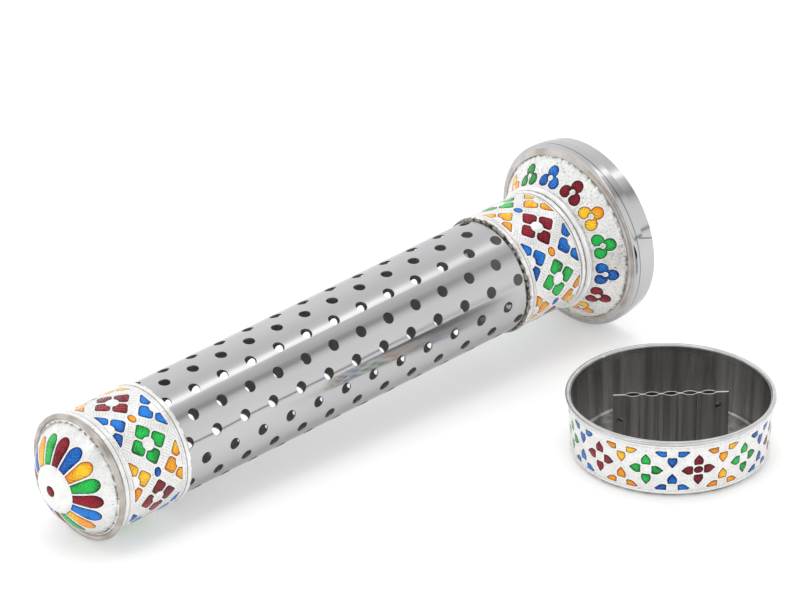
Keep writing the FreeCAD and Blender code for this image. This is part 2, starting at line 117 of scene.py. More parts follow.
# %% A surface of revolution
class RoundSurface:
    """A profile of (radius, height) corners, in mm, turned about the Z axis of a placed frame."""

    def __init__(self, place, corners, first_reach=0.0):
        self.place = np.array(place)
        self.radii, self.heights = np.array(corners, float).T
        steps = np.hypot(np.diff(self.radii), np.diff(self.heights))
        self.reaches = first_reach + np.concatenate([[0.0], np.cumsum(steps)])

    def radius(self, reach):
        return np.interp(reach, self.reaches, self.radii)

    def height(self, reach):
        return np.interp(reach, self.reaches, self.heights)

    def points(self, turn, reach, lift):
        """Places on or above the surface, in the row frame, in metres."""
        nudge = 0.05
        rise = self.height(reach + nudge) - self.height(reach - nudge)
        run = self.radius(reach + nudge) - self.radius(reach - nudge)
        length = np.hypot(rise, run)
        radius = self.radius(reach) + lift * rise / length
        height = self.height(reach) - lift * run / length
        angle = np.radians(turn)
        own = np.stack([radius * np.cos(angle), radius * np.sin(angle), height], axis=-1) * MM
        return own @ self.place[:3, :3].T + self.place[:3, 3]

    def local(self, turn, reach, middle_turn, middle_reach):
        """Flat coordinates of places about a pattern's own middle: across and along, in mm."""
        across = np.radians(wrapped(turn - middle_turn)) * self.radius(reach)
        return across, reach - middle_reach


def wrapped(degrees):
    """An angle between -180 and 180 degrees."""
    return (degrees + 180.0) % 360.0 - 180.0


# %% [markdown]
# ## Making meshes
# Each piece is made from plain lists of corners and faces, smoothed, given its finish and put on its
# body, and the CAD nodes that it stands for are hidden.

# %% One piece
def make_piece(name, points, faces, finish, body, stands_for):
    """A mesh piece in the row frame that rides on a body."""
    mesh = bpy.data.meshes.new(name)
    mesh.from_pydata(np.asarray(points).tolist(), [], faces)
    mesh.polygons.foreach_set("use_smooth", [True] * len(mesh.polygons))
    mesh.materials.append(FINISH[finish])
    mesh.validate()
    piece = bpy.data.objects.new(name, mesh)
    bpy.context.scene.collection.objects.link(piece)
    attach(piece, body)
    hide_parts(*stands_for)
    print(f"{name}: {len(mesh.polygons)} faces")
    return piece


def grid_faces(rows, columns):
    """Faces of a closed band of rows, each of which runs all the way round."""
    row, column = np.meshgrid(np.arange(rows), np.arange(columns), indexing="ij")
    after_row, after_column = (row + 1) % rows, (column + 1) % columns
    corners = [row * columns + column, row * columns + after_column,
               after_row * columns + after_column, after_row * columns + column]
    return np.stack(corners, axis=-1).reshape(-1, 4).tolist()


# %% [markdown]
# ## Outlines
# The enamel sits in stamped cells: kite-shaped petals, leaves, ovals and trefoils. Each is a closed
# outline in millimetres about its own middle. Most are polygons with their corners rounded off, and
# the trefoil is made of arcs, so each needs only the few numbers that shape it.

# %% Helpers for outlines
def arc(centre, radius, start, end, steps):
    """Points on a circle from one angle to another, in degrees."""
    angles = np.radians(np.linspace(start, end, steps))
    return [(centre[0] + radius * math.cos(a), centre[1] + radius * math.sin(a)) for a in angles]


def rounded(corners, steps=5):
    """A polygon with each corner, given as x, y and the length cut off each side, rounded."""
    outline = []
    for number, (x, y, cut) in enumerate(corners):
        corner = np.array([x, y])
        ends = []
        for neighbour in (corners[number - 1], corners[(number + 1) % len(corners)]):
            side = np.array(neighbour[:2]) - corner
            ends.append(corner + side * min(cut / np.linalg.norm(side), 0.5))
        for t in np.linspace(0, 1, steps):
            outline.append((1 - t) ** 2 * ends[0] + 2 * t * (1 - t) * corner + t ** 2 * ends[1])
    return np.array(outline)


def mirrored(half):
    """A closed outline from its half on the +Y side, which runs outwards along X."""
    return [(x, y, cut) for x, y, cut in half] + [(x, -y, cut) for x, y, cut in reversed(half) if y > 0]


def turned_about(outline, degrees):
    """An outline turned about its flower's middle."""
    cosine, sine = math.cos(math.radians(degrees)), math.sin(math.radians(degrees))
    spin = np.array([[cosine, -sine], [sine, cosine]])
    return outline @ spin.T


# %% Trimming and measuring outlines
def trimmed(outline, limit):
    """The part of an outline below a limit in Y, or above it where the limit is given below zero."""
    side = -1.0 if limit < 0 else 1.0
    kept = []
    for start, end in zip(outline, np.roll(outline, -1, axis=0)):
        start_in, end_in = side * start[1] <= side * limit, side * end[1] <= side * limit
        if start_in:
            kept.append(start)
        if start_in != end_in:
            share = (limit - start[1]) / (end[1] - start[1])
            kept.append(start + share * (end - start))
    return np.array(kept)


def signed_distance(x, y, outline):
    """The distance from places to a closed outline, below zero inside it."""
    nearest = np.full(np.shape(x), np.inf)
    inside = np.zeros(np.shape(x), bool)
    for (ax, ay), (bx, by) in zip(outline, np.roll(outline, -1, axis=0)):
        ex, ey = bx - ax, by - ay
        share = np.clip(((x - ax) * ex + (y - ay) * ey) / max(ex * ex + ey * ey, 1e-12), 0, 1)
        nearest = np.minimum(nearest, np.hypot(x - ax - share * ex, y - ay - share * ey))
        if abs(ey) > 1e-12:
            inside ^= ((ay > y) != (by > y)) & (x < (y - ay) * ex / ey + ax)
    return np.where(inside, -nearest, nearest)


# %% The cells' outlines
KITE = rounded(mirrored([(2.95, 0.0, 0.6), (2.3, 1.75, 0.35), (4.9, 4.5, 2.0), (9.6, 0.0, 1.5)]))
LEAF = rounded(mirrored([(2.3, 0.0, 0.1), (2.2, 1.85, 0.5), (4.7, 2.4, 1.6), (7.5, 0.0, 0.35)]))
DOME_PETAL = rounded(mirrored([(-6.9, 0.0, 0.1), (-6.9, 1.85, 0.4), (3.4, 3.5, 2.6), (6.4, 1.5, 1.5)]))
OVAL = np.array(arc((0, 0), 1.0, 0, 345, 24)) * (2.25, 1.85)


def trefoil(lobe=2.95, down=2.75, side=2.75, up=1.9, tear=1.25, tear_up=0.35, slot=0.35):
    """Three joined discs with a tear-shaped opening between the two upper ones."""
    apart = math.hypot(side, up + down)
    neck = math.sqrt(lobe ** 2 - (apart / 2) ** 2)
    across, along = (up + down) / apart, -side / apart
    waist = (side / 2 + neck * across, (up - down) / 2 + neck * along)
    lower_end = math.degrees(math.atan2(waist[1] + down, waist[0]))
    upper_start = math.degrees(math.atan2(waist[1] - up, waist[0] - side))
    upper_end = math.degrees(math.acos((slot - side) / lobe))
    tear_start = math.degrees(math.acos(slot / tear))
    half = (arc((0, -down), lobe, -90, lower_end, 10)
            + arc((side, up), lobe, upper_start, upper_end, 18)[1:]
            + arc((0, tear_up), tear, tear_start, -90, 9))
    return np.array(half + [(-x, y) for x, y in reversed(half[1:-1])])


TREFOIL = trefoil()
for label, outline in (("kite", KITE), ("leaf", LEAF), ("dome petal", DOME_PETAL), ("trefoil", TREFOIL)):
    print(label, "spans", np.ptp(outline, axis=0).round(1), "mm")

# %% [markdown]
# ## Relief and pads
# A stamped sheet is drawn as a fine grid, and each grid point is lifted by its distance to the
# nearest cell: a sharp lip round the cell and a sunk floor inside it. The enamel itself is a separate
# pad that fills the cell and swells slightly, because enamel is poured as a liquid and keeps a
# rounded skin. Each pad stores how deep inside its outline a point is, so that its finish can darken
# towards the edge where the colour pools. It also stores a place across its stamped veins, which run
# out from its middle line like a feather's.

# %% Pads and what a mesh stores
Pad = namedtuple("Pad", "turn reach outline colour")


def store(piece, label, values):
    """Keeps one number for each corner of a piece, for its finish to read."""
    kept = piece.data.attributes.new(label, "FLOAT", "POINT")
    kept.data.foreach_set("value", np.asarray(values, np.float32))


# %% Fields over a sheet
FAR, PAD_MARGIN = 9.0, 1.5


def gap_to_pads(surface, turn, reach, pads):
    """The distance from places on a surface to the nearest cell, below zero inside one."""
    gap = np.full(turn.shape, FAR)
    for pad in pads:
        across, along = surface.local(turn, reach, pad.turn, pad.reach)
        size = np.abs(pad.outline).max() + PAD_MARGIN
        near = (np.abs(across) < size) & (np.abs(along) < size)
        found = signed_distance(across[near], along[near], pad.outline)
        gap[near] = np.minimum(gap[near], found)
    return gap


def ridge(distance, width):
    """A rounded line of height 1 where a distance is zero."""
    return np.exp(-(distance / width) ** 2)


def smoothed(field, passes):
    """A grid field averaged with its neighbours so many times."""
    for _ in range(passes):
        for axis in (0, 1):
            field = (np.roll(field, 1, axis) + field + np.roll(field, -1, axis)) / 3
    return field


def blotches(shape, seed, passes):
    """A random field that is repeatable, with blobs that grow with the passes. Its spread is 1."""
    field = smoothed(np.random.default_rng(seed).normal(size=shape), passes)
    return field / field.std()


def no_stain(turn, reach):
    """Clean metal all over."""
    return 0.0


# %% A stamped sheet
LIP_RISE, LIP_OFFSET, LIP_WIDTH = 0.16, 0.22, 0.24
CELL_DEPTH, CELL_SLOPE = 0.3, 0.35
HOLLOW_PASSES, HOLLOW_FULL, BACK_STEP = 6, 0.2, 8


def stamped_sheet(name, surface, pads, relief, stands_for, columns, reach_step, thickness,
                  body="tower", marks_and_shade=no_stain):
    """A closed sheet with cells stamped in it. Relief gives the rest of its pattern. Its colour darkens
    as painted shade wherever it lies below its surroundings, and the last argument adds stains and more
    painted shade to that."""
    first, last = surface.reaches[0], surface.reaches[-1]
    rows = np.linspace(first, last, 1 + round((last - first) / reach_step))
    turn, reach = np.meshgrid(np.arange(columns) * 360.0 / columns, rows)
    gap = gap_to_pads(surface, turn, reach, pads)
    lift = relief(turn, reach, gap) + LIP_RISE * ridge(gap - LIP_OFFSET, LIP_WIDTH)
    lift -= CELL_DEPTH * np.clip(-gap / CELL_SLOPE, 0, 1)
    # Painted shade: the sheet's colour darkens wherever it lies below its smoothed surroundings.
    hollow_shade = np.clip(smoothed(lift, HOLLOW_PASSES) - lift, 0, None) / HOLLOW_FULL
    shade_and_marks = np.clip(hollow_shade + marks_and_shade(turn, reach), 0, 1)
    back_rows = rows[::-BACK_STEP]
    back_turn, back_reach = np.meshgrid(turn[0], np.append(back_rows, first))
    turn = np.concatenate([turn, back_turn])
    reach = np.concatenate([reach, back_reach])
    lift = np.concatenate([lift, np.full(back_turn.shape, -thickness)])
    points = surface.points(turn, reach, lift).reshape(-1, 3)
    faces = grid_faces(len(turn), columns)
    piece = make_piece(name, points, faces, "embossed_silver", body, stands_for)
    store(piece, "shade_and_marks", np.concatenate([shade_and_marks.ravel(), np.zeros(back_turn.size)]))


# %% Enamel pads
PAD_GRID, PAD_ROW, PAD_CLEAR = 0.55, 0.87, 0.35
PAD_SWELL, PAD_SHOULDER, PAD_EDGE, PAD_FOOT = 0.17, 0.6, -0.04, -0.28
VEIN_PITCH, VEIN_ACROSS, VEIN_ALONG = 1.1, 0.8, 0.6


def pad_mesh(outline):
    """A pad's flat triangles: corners with the outline's own first, then those inside it."""
    low, high = outline.min(0), outline.max(0)
    columns = np.arange(low[0], high[0], PAD_GRID)
    rows = np.arange(low[1], high[1], PAD_GRID * PAD_ROW)
    x, y = np.meshgrid(columns, rows)
    x[1::2] += PAD_GRID / 2
    inner = signed_distance(x, y, outline) < -PAD_CLEAR * PAD_GRID
    corners = [Vector(point) for point in outline] + [Vector(p) for p in zip(x[inner], y[inner])]
    count = len(outline)
    rim = [(number, (number + 1) % count) for number in range(count)]
    made = delaunay_2d_cdt(corners, rim, [list(range(count))], 1, 1e-6)
    return np.array([(point.x, point.y) for point in made[0]]), made[2]


def enamel_pads(prefix, surface, pads, colour, body):
    """The pads of one colour on one surface, in place of the CAD inlay of that colour."""
    points, faces, depths, veins = [], [], [], []
    for pad in pads:
        if pad.colour != colour:
            continue
        flat, triangles = pad_mesh(pad.outline)
        depth = np.maximum(-signed_distance(flat[:, 0], flat[:, 1], pad.outline), 0)
        count = len(pad.outline)
        flat = np.concatenate([flat, flat[:count]])
        lift = PAD_EDGE + PAD_SWELL * (1 - np.exp(-depth / PAD_SHOULDER))
        lift = np.concatenate([lift, np.full(count, PAD_FOOT)])
        reach = pad.reach + flat[:, 1]
        turn = pad.turn + np.degrees(flat[:, 0] / surface.radius(reach))
        start, skirt = len(points), len(flat) - count
        points += surface.points(turn, reach, lift).tolist()
        depths += depth.tolist() + [0.0] * count
        veins += (VEIN_ACROSS * np.abs(flat[:, 0]) + VEIN_ALONG * flat[:, 1] + pad.turn).tolist()
        faces += [[start + corner for corner in face] for face in triangles]
        for number in range(count):
            after = (number + 1) % count
            faces.append([start + number, start + skirt + number, start + skirt + after,
                          start + after])
    piece = make_piece(f"{prefix}_pads_{colour}", points, faces, "enamel_" + colour, body,
                       [f"{prefix}_enamel_{colour}"])
    store(piece, "cell_depth", depths)
    store(piece, "vein", veins)


def inlay(prefix, surface, pads, body="tower"):
    """Every colour's pads on one surface."""
    for colour in ENAMELS:
        enamel_pads(prefix, surface, pads, colour, body)


# %% [markdown]
# ## Building finishes from nodes
# A finish is one Principled shader whose sockets are fed by a few procedural nodes. Small helpers
# keep that short: each adds a node with its inputs, which may be numbers or other nodes' outputs.
# Patterns are measured in millimetres in a part's own frame, so that a scratch or a speck has its
# real size and stays on the metal when the tower is tipped up.

# %% Helpers for finishes
FINISH = {}


def new_finish(name, colour, metallic, roughness):
    """A named material, with the node tree and the shader that its patterns feed."""
    finish = bpy.data.materials.new(name)
    finish.use_nodes = True
    shader = finish.node_tree.nodes["Principled BSDF"]
    shader.inputs["Base Color"].default_value = (*colour, 1.0)
    shader.inputs["Metallic"].default_value = metallic
    shader.inputs["Roughness"].default_value = roughness
    FINISH[name] = finish
    return finish.node_tree, shader


def add(tree, kind, inputs, **settings):
    """A shader node with its settings and its inputs."""
    made = tree.nodes.new("ShaderNode" + kind)
    for key, value in settings.items():
        setattr(made, key, value)
    for key, value in inputs.items():
        if isinstance(value, bpy.types.NodeSocket):
            tree.links.new(value, made.inputs[key])
        else:
            made.inputs[key].default_value = value
    return made


def stored(tree, label):
    """A number that a mesh stores for each of its corners."""
    return add(tree, "Attribute", {}, attribute_name=label).outputs["Fac"]


def maths(tree, operation, *values, clamp=False):
    """The output of a Math node."""
    return add(tree, "Math", dict(enumerate(values)), operation=operation, use_clamp=clamp).outputs[0]


def between(tree, value, low, high):
    """0 where a value is at or under low, 1 at or over high, and smooth between them."""
    ramp = add(tree, "MapRange", {"Value": value, "From Min": low, "From Max": high},
               interpolation_type="SMOOTHSTEP")
    return ramp.outputs["Result"]


def mixed(tree, share, first, second):
    """A colour between two colours."""
    mix = add(tree, "Mix", {0: share}, data_type="RGBA")
    for number, colour in ((6, first), (7, second)):
        if isinstance(colour, bpy.types.NodeSocket):
            tree.links.new(colour, mix.inputs[number])
        else:
            mix.inputs[number].default_value = (*colour, 1.0)
    return mix.outputs[2]


def own_place(tree, place):
    """The shaded point in a part's own frame, in millimetres."""
    seen = add(tree, "TexCoord", {}).outputs["Object"]
    return add(tree, "Mapping", {"Vector": seen, "Location": place.to_translation(),
                                 "Rotation": place.to_euler(), "Scale": (MM, MM, MM)},
               vector_type="TEXTURE").outputs["Vector"]


def radius_of(tree, parts):
    """How far a place, split into its three parts, is from its frame's Z axis."""
    squares = [maths(tree, "POWER", parts.outputs[axis], 2.0) for axis in (0, 1)]
    return maths(tree, "SQRT", maths(tree, "ADD", *squares))


def noise(tree, where, scale, detail=3.0, stretch=(1.0, 1.0, 1.0), distortion=0.0):
    """A soft random pattern with so many blobs a millimetre."""
    stretched = add(tree, "Mapping", {"Vector": where, "Scale": stretch}).outputs["Vector"]
    return add(tree, "TexNoise", {"Vector": stretched, "Scale": scale, "Detail": detail,
                                  "Distortion": distortion}).outputs["Fac"]


def bump(tree, shader, height, millimetres):
    """Feeds a height pattern to a shader's normal."""
    bumped = add(tree, "Bump", {"Height": height, "Distance": millimetres * MM, "Strength": 1.0})
    tree.links.new(bumped.outputs["Normal"], shader.inputs["Normal"])


def feed(tree, value, shader, socket):
    """Links a value to one of a shader's sockets."""
    tree.links.new(value, shader.inputs[socket])


# %% [markdown]
# ## Polished steel
# The tube and the foot ring are mirror-polished stainless steel. What makes rolled sheet look real
# is that it is never quite flat: long shallow waves bend the reflections. The polish is worn towards
# the foot, where hands hold it. Inside the tube the metal is unpolished and dull, and its colour is
# darkened there as painted shade, where the radius is less than the wall's. Two thin dark marks on the
# foot ring are drawn by the same finish: the joint of its strip, and painted shade in the groove under its
# lip.

# %% The foot ring's groove shade and joint
GROOVE_HEIGHT, GROOVE_HALF, GROOVE_RADIUS, GROOVE_SHADE = 9.4, 0.45, 41.2, 0.75
JOINT_TURN, JOINT_HALF, JOINT_HEIGHT, JOINT_SLANT = -74.6, 0.6, 4.2, 0.52
JOINT_TOP, JOINT_RADIUS = 8.0, 40.3


def near(tree, value, target, half_width):
    """1 where a value is at a target, and 0 further away than the half width."""
    apart = maths(tree, "ABSOLUTE", maths(tree, "SUBTRACT", value, target))
    return between(tree, apart, half_width, 0.0)


def joint_and_groove_shade(tree, parts, radius):
    """Dark lines on the foot ring: painted shade in the groove under its lip, and the slanting joint of its
    strip.
    """
    height = parts.outputs[2]
    turn = maths(tree, "DEGREES", maths(tree, "ARCTAN2", parts.outputs[1], parts.outputs[0]))
    slant = maths(tree, "MULTIPLY", maths(tree, "SUBTRACT", height, JOINT_HEIGHT), JOINT_SLANT)
    joint = near(tree, maths(tree, "SUBTRACT", turn, slant), JOINT_TURN, JOINT_HALF)
    below = maths(tree, "LESS_THAN", height, JOINT_TOP)
    # Painted shade: a dark line in the groove under the lip.
    groove_shade = maths(tree, "MULTIPLY", near(tree, height, GROOVE_HEIGHT, GROOVE_HALF), GROOVE_SHADE)
    joint = maths(tree, "MULTIPLY", joint, maths(tree, "GREATER_THAN", radius, JOINT_RADIUS))
    groove_shade = maths(tree, "MULTIPLY", groove_shade, maths(tree, "GREATER_THAN", radius, GROOVE_RADIUS))
    return maths(tree, "MAXIMUM", maths(tree, "MULTIPLY", joint, below), groove_shade)


# %% Polished steel
TUBE_INSIDE, TUBE_RADIUS = reach_of("perforated_tube", TOWER)[2:]
WEAR_START, WEAR_FULL, WEAR, TUBE_START = 170.0, 60.0, 0.17, (20.0, 26.0)

tree, shader = new_finish("mirror_steel", (0.52, 0.52, 0.53), 1.0, 0.12)
where = own_place(tree, TOWER)
parts = add(tree, "SeparateXYZ", {"Vector": where})
radius = radius_of(tree, parts)
outside = between(tree, radius, TUBE_INSIDE + 0.15, TUBE_INSIDE + 0.35)
haze = noise(tree, where, 0.05, stretch=(1, 1, 0.3))
bright = mixed(tree, haze, (0.45, 0.45, 0.46), (0.54, 0.54, 0.545))
# Painted shade: inside the tube the steel's colour is darker.
steel = mixed(tree, outside, (0.33, 0.325, 0.315), bright)
feed(tree, mixed(tree, joint_and_groove_shade(tree, parts, radius), steel, (0.05, 0.05, 0.05)), shader,
     "Base Color")
polish = add(tree, "MapRange", {"Value": noise(tree, where, 0.15), "To Min": 0.06, "To Max": 0.11})
worn = maths(tree, "MULTIPLY", between(tree, parts.outputs[2], WEAR_START, WEAR_FULL), WEAR)
dull = add(tree, "MapRange", {"Value": outside, "To Min": 0.5, "To Max": 0.0})
rough = maths(tree, "ADD", polish.outputs["Result"], dull.outputs["Result"])
on_tube = between(tree, parts.outputs[2], *TUBE_START)
feed(tree, maths(tree, "ADD", rough, maths(tree, "MULTIPLY", worn, on_tube)), shader, "Roughness")
shader.inputs["Specular Tint"].default_value = (0.84, 0.84, 0.85, 1.0)
bump(tree, shader, noise(tree, where, 0.06, detail=1.0, stretch=(1, 1, 0.35)), 0.35)

# %% [markdown]
# ## Rolled and brushed steel
# The hoop round the dome is plain rolled wire, browner and duller than the tube. The cup and the clip
# are brushed: fine scratches run up their walls. Inside the cup their colour is darkened as painted
# shade, all but the clip's top edge. The same noise, squeezed sideways and drawn out upwards, gives both
# the streaks and the scratches.

# %% Rolled steel
tree, shader = new_finish("rolled_steel", (0.4, 0.37, 0.34), 1.0, 0.3)
where = own_place(tree, TOWER)
tarnish = between(tree, noise(tree, where, 0.12, detail=2.0), 0.3, 0.7)
feed(tree, mixed(tree, tarnish, (0.4, 0.36, 0.32), (0.56, 0.53, 0.51)), shader, "Base Color")
bump(tree, shader, noise(tree, where, 0.5, detail=3.0), 0.04)

# %% Brushed steel
RIM_OVERHANG = 2.7
CUP_INSIDE = reach_of("cup_shell", CUP)[3] - RIM_OVERHANG
CLIP_TOP = reach_of("clip_front", CUP)[1]

tree, shader = new_finish("brushed_steel", (0.3, 0.3, 0.3), 1.0, 0.35)
where = own_place(tree, CUP)
parts = add(tree, "SeparateXYZ", {"Vector": where})
radius = radius_of(tree, parts)
wide = between(tree, noise(tree, where, 0.2, detail=2.0, stretch=(1, 1, 0.03)), 0.3, 0.7)
fine = noise(tree, where, 1.8, detail=3.0, stretch=(1, 1, 0.015))
streaks = maths(tree, "ADD", maths(tree, "MULTIPLY", wide, 0.6), maths(tree, "MULTIPLY", fine, 0.5),
                clamp=True)
# Painted shade: inside the cup the steel's colour is dark, while the outside and the clip's top edge keep
# the bright tone.
shaded_inside = mixed(tree, streaks, (0.14, 0.137, 0.13), (0.6, 0.59, 0.58))
bright = mixed(tree, streaks, (0.5, 0.5, 0.5), (0.62, 0.62, 0.62))
outside = between(tree, radius, CUP_INSIDE, CUP_INSIDE + 0.6)
above = between(tree, parts.outputs[2], CLIP_TOP - 0.25, CLIP_TOP - 0.1)
feed(tree, mixed(tree, maths(tree, "MAXIMUM", outside, above), shaded_inside, bright), shader,
     "Base Color")
feed(tree, add(tree, "MapRange", {"Value": outside, "To Min": 0.36, "To Max": 0.16})
     .outputs["Result"], shader, "Roughness")
bump(tree, shader, fine, 0.02)

# %% [markdown]
# ## Scorched steel
# Heat turns steel brown and black. Solder and spot welds leave such a finish in patches, so a soft
# noise picks where the metal is burnt and where it is only grey.

# %% Scorched steel
tree, shader = new_finish("scorched_steel", (0.05, 0.045, 0.04), 1.0, 0.42)
where = own_place(tree, TOWER)
patches = between(tree, noise(tree, where, 0.5, detail=3.0), 0.38, 0.58)
feed(tree, mixed(tree, patches, (0.03, 0.027, 0.022), (0.36, 0.33, 0.29)), shader, "Base Color")
bump(tree, shader, noise(tree, where, 1.5), 0.08)

# %% [markdown]
# ## Stamped white metal
# The bands, the skirt and the dome are stamped from a soft bright metal with a frosty white skin. It
# is close to white, slightly warm, and dull enough to show its relief. Small grey ticks are scattered
# over it, and its colour is darkened as painted shade in the hollows and along creases and joins, with some
# grain and stains mixed in.

# %% Embossed silver
tree, shader = new_finish("embossed_silver", (0.85, 0.85, 0.84), 0.55, 0.27)
where = own_place(tree, TOWER)
clouds = between(tree, noise(tree, where, 0.22, detail=4.0), 0.35, 0.7)
body = mixed(tree, clouds, (0.855, 0.853, 0.841), (0.765, 0.768, 0.755))
ticks = between(tree, noise(tree, where, 1.5, detail=6.0, distortion=1.2), 0.6, 0.7)
# Painted shade: the stored shade of hollows, creases and joins greys the colour, along with random ticks.
ticks_and_shade = maths(tree, "MAXIMUM", maths(tree, "MULTIPLY", ticks, 0.42), stored(tree, "shade_and_marks"))
feed(tree, mixed(tree, ticks_and_shade, body, (0.15, 0.135, 0.115)), shader, "Base Color")
bump(tree, shader, noise(tree, where, 1.8, detail=5.0), 0.09)

# %% [markdown]
# ## Enamel
# The four colours share one recipe: a glossy skin over a colour that drifts between a deep and a
# bright tone, with a dark line where the pad meets its cell. The depth stored on each pad draws that
# line, and along the stored veins fine bright streaks are painted into the colour as painted highlights.

# %% The four enamels
ENAMELS = {
    "maroon": ((0.08, 0.001, 0.005), (0.35, 0.005, 0.022)),
    "green": ((0.002, 0.1, 0.012), (0.02, 0.64, 0.1)),
    "blue": ((0.002, 0.03, 0.24), (0.008, 0.26, 0.85)),
    "amber": ((0.8, 0.18, 0.002), (1.0, 0.7, 0.03)),
}


def enamel(colour, deep, bright):
    tree, shader = new_finish("enamel_" + colour, deep, 0.0, 0.08)
    where = own_place(tree, TOWER)
    shader.inputs["Specular IOR Level"].default_value = 0.2
    drift = between(tree, noise(tree, where, 0.09, detail=1.0), 0.4, 0.6)
    wave = maths(tree, "SINE", maths(tree, "MULTIPLY", stored(tree, "vein"), math.tau / VEIN_PITCH))
    broken = between(tree, noise(tree, where, 0.45, detail=2.0), 0.4, 0.65)
    strokes = maths(tree, "MULTIPLY", wave, broken)
    # Painted highlight: bright streaks along the veins, added to the colour.
    vein_highlight = between(tree, strokes, 0.0, 0.6)
    depth = stored(tree, "cell_depth")
    middle = between(tree, depth, 0.5, 1.7)
    lit = maths(tree, "ADD", maths(tree, "MULTIPLY", drift, 0.45), maths(tree, "MULTIPLY", middle, 0.3))
    share = maths(tree, "ADD", lit, maths(tree, "MULTIPLY", vein_highlight, 0.5), clamp=True)
    inner = between(tree, depth, 0.08, 0.7)
    edge = tuple(0.12 * value for value in deep)
    feed(tree, mixed(tree, inner, edge, mixed(tree, share, deep, bright)), shader, "Base Color")
    bump(tree, shader, strokes, 0.3)


for colour_name, (deep_tone, bright_tone) in ENAMELS.items():
    enamel(colour_name, deep_tone, bright_tone)
print("finishes:", ", ".join(FINISH))

# %% [markdown]
# ## The CAD pieces that stay
# The tube, the foot ring, the cup and the clip already have the right shape. They keep their meshes
# and only get their finishes.

# %% Finishes on the CAD pieces
KEPT = {
    "mirror_steel": ("perforated_tube", "foot_ring"),
    "brushed_steel": ("cup_shell", "clip_front", "clip_back"),
}
for finish_name, node_names in KEPT.items():
    for node_name in node_names:
        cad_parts[node_name].data.materials.clear()
        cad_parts[node_name].data.materials.append(FINISH[finish_name])
    print(finish_name, "on", *node_names)

# %% [markdown]
# ## The two tube bands
# Both bands carry the same lattice: diamonds edged with a ladder of small rungs, a four-petalled
# flower in each, half flowers along both edges, and an oval where the diamonds meet. The flowers
# alternate in colour round the tube. The strip's ends lap at the back, where the lattice stops.

# %% The lattice
LATTICE_HALF, LATTICE_CLIP, FLOWER_STEP = 12.6, 12.9, 54.5
FIRST_FLOWER = {"lower": -31.9, "upper": 1.6}
BAND_MIDDLE = {"lower": 42.7, "upper": 268.4}
PLACES = range(-6, 6)


def flower_pads(petal, turn, reach, offset, colour, trim):
    """The pads of a flower, or of a half flower whose middle is offset from the band's."""
    pointing_away = {1: 90, -1: 270}.get((offset > 0) - (offset < 0))
    for quarter in (0, 90, 180, 270):
        if quarter == pointing_away:
            continue
        outline = turned_about(petal, quarter)
        if offset and quarter in (0, 180):
            outline = trimmed(outline, math.copysign(trim, offset))
        yield Pad(turn, reach + offset, outline, colour)


def lattice_pads(petal, places, turns, middle, half, clip, whole_colours, half_colours, spot_colours=()):
    """Whole flowers round a band's middle, with half flowers on both edges between them and, where
    spots have colours, an oval. The turns are the first flower's and the step to the next place, and
    of each pair of colours the second is for every second flower."""
    pads = []
    for place in places:
        turn = turns[0] + place * turns[1]
        pair = (place // 2) % 2
        if place % 2 == 0:
            pads += flower_pads(petal, turn, middle, 0.0, whole_colours[pair], 0.0)
            continue
        for side in (-1, 1):
            pads += flower_pads(petal, turn, middle, side * half, half_colours[pair], clip - half)
        if spot_colours:
            pads.append(Pad(turn, middle, OVAL, spot_colours[pair]))
    return pads


# %% The bands' relief and painted shade
STRIP_HALF, RUNG_PITCH, RAIL_RISE, RUNG_RISE = 1.35, 1.25, 0.12, 0.06
BUTTON_RADIUS, BUTTON_RISE, RIM_HALF, RIM_RISE = 2.6, 0.2, 1.2, 0.5
LAP_HALF, LAP_SLOPE, LAP_RISE = 5.0, 0.4, 0.3


def edge_shade(edge_reach, seed):
    """Painted shade: a broken grey-brown line where the tube goes into a band."""
    def marks_and_shade(turn, reach):
        broken = blotches(turn.shape, seed, 5)
        return ridge(reach - edge_reach, 0.8) * np.clip(0.55 + 0.5 * broken, 0, 1)

    return marks_and_shade


def band_relief(surface, first_turn, middle, foot, top):
    """A function for the relief of a band: ladders, flower middles, rims and the lap."""
    half_width = np.radians(FLOWER_STEP / 2) * surface.radii[0]
    lap_turn = first_turn + (PLACES[-1] + PLACES[0]) / 2 * FLOWER_STEP / 2 + 180

    def relief(turn, reach, gap):
        across, along = surface.local(turn, reach, first_turn, middle)
        across = across * LATTICE_HALF / half_width
        diagonal = np.round((across + along) / (2 * LATTICE_HALF))
        other = np.round((across - along) / (2 * LATTICE_HALF))
        across = np.abs(across - (diagonal + other) * LATTICE_HALF)
        inward = np.abs(along - (diagonal - other) * LATTICE_HALF)
        border = (LATTICE_HALF - across - inward) / math.sqrt(2)
        travel = (across - inward) / math.sqrt(2)
        rails = RAIL_RISE * ridge(border - STRIP_HALF, 0.2)
        rungs = RUNG_RISE * (1 + np.cos(2 * math.pi * travel / RUNG_PITCH)) * (border < STRIP_HALF)
        button = BUTTON_RISE * np.clip((BUTTON_RADIUS - np.hypot(across, inward)) / 0.5, 0, 1)
        pattern = (rails + rungs * (gap > 0.5) + button) * (np.abs(along) < LATTICE_CLIP)
        edge = np.minimum(reach - foot, top - reach)
        rim = RIM_RISE * np.sqrt(np.clip(1 - (edge / RIM_HALF - 1) ** 2, 0, 1))
        beading = 0.16 * ridge(edge - 3.0, 0.25) + 0.1 * ridge(edge - 4.2, 0.25)
        from_lap = np.abs(np.radians(wrapped(turn - lap_turn))) * surface.radii[0]
        lap = LAP_RISE * np.clip((LAP_HALF - from_lap) / LAP_SLOPE, 0, 1)
        frost = 0.02 * blotches(turn.shape, 11, 1) + 0.05 * blotches(turn.shape, 12, 4) * (edge < 1.0)
        return frost + np.where(from_lap < LAP_HALF + LAP_SLOPE, lap + 0.6 * rim,
                                pattern + rim + beading)

    return relief


# %% Make both bands
BAND_EDGE, TUBE_GAP = 0.5, 0.03
EDGE_SHADE_SEEDS = {"lower": 21, "upper": 22}

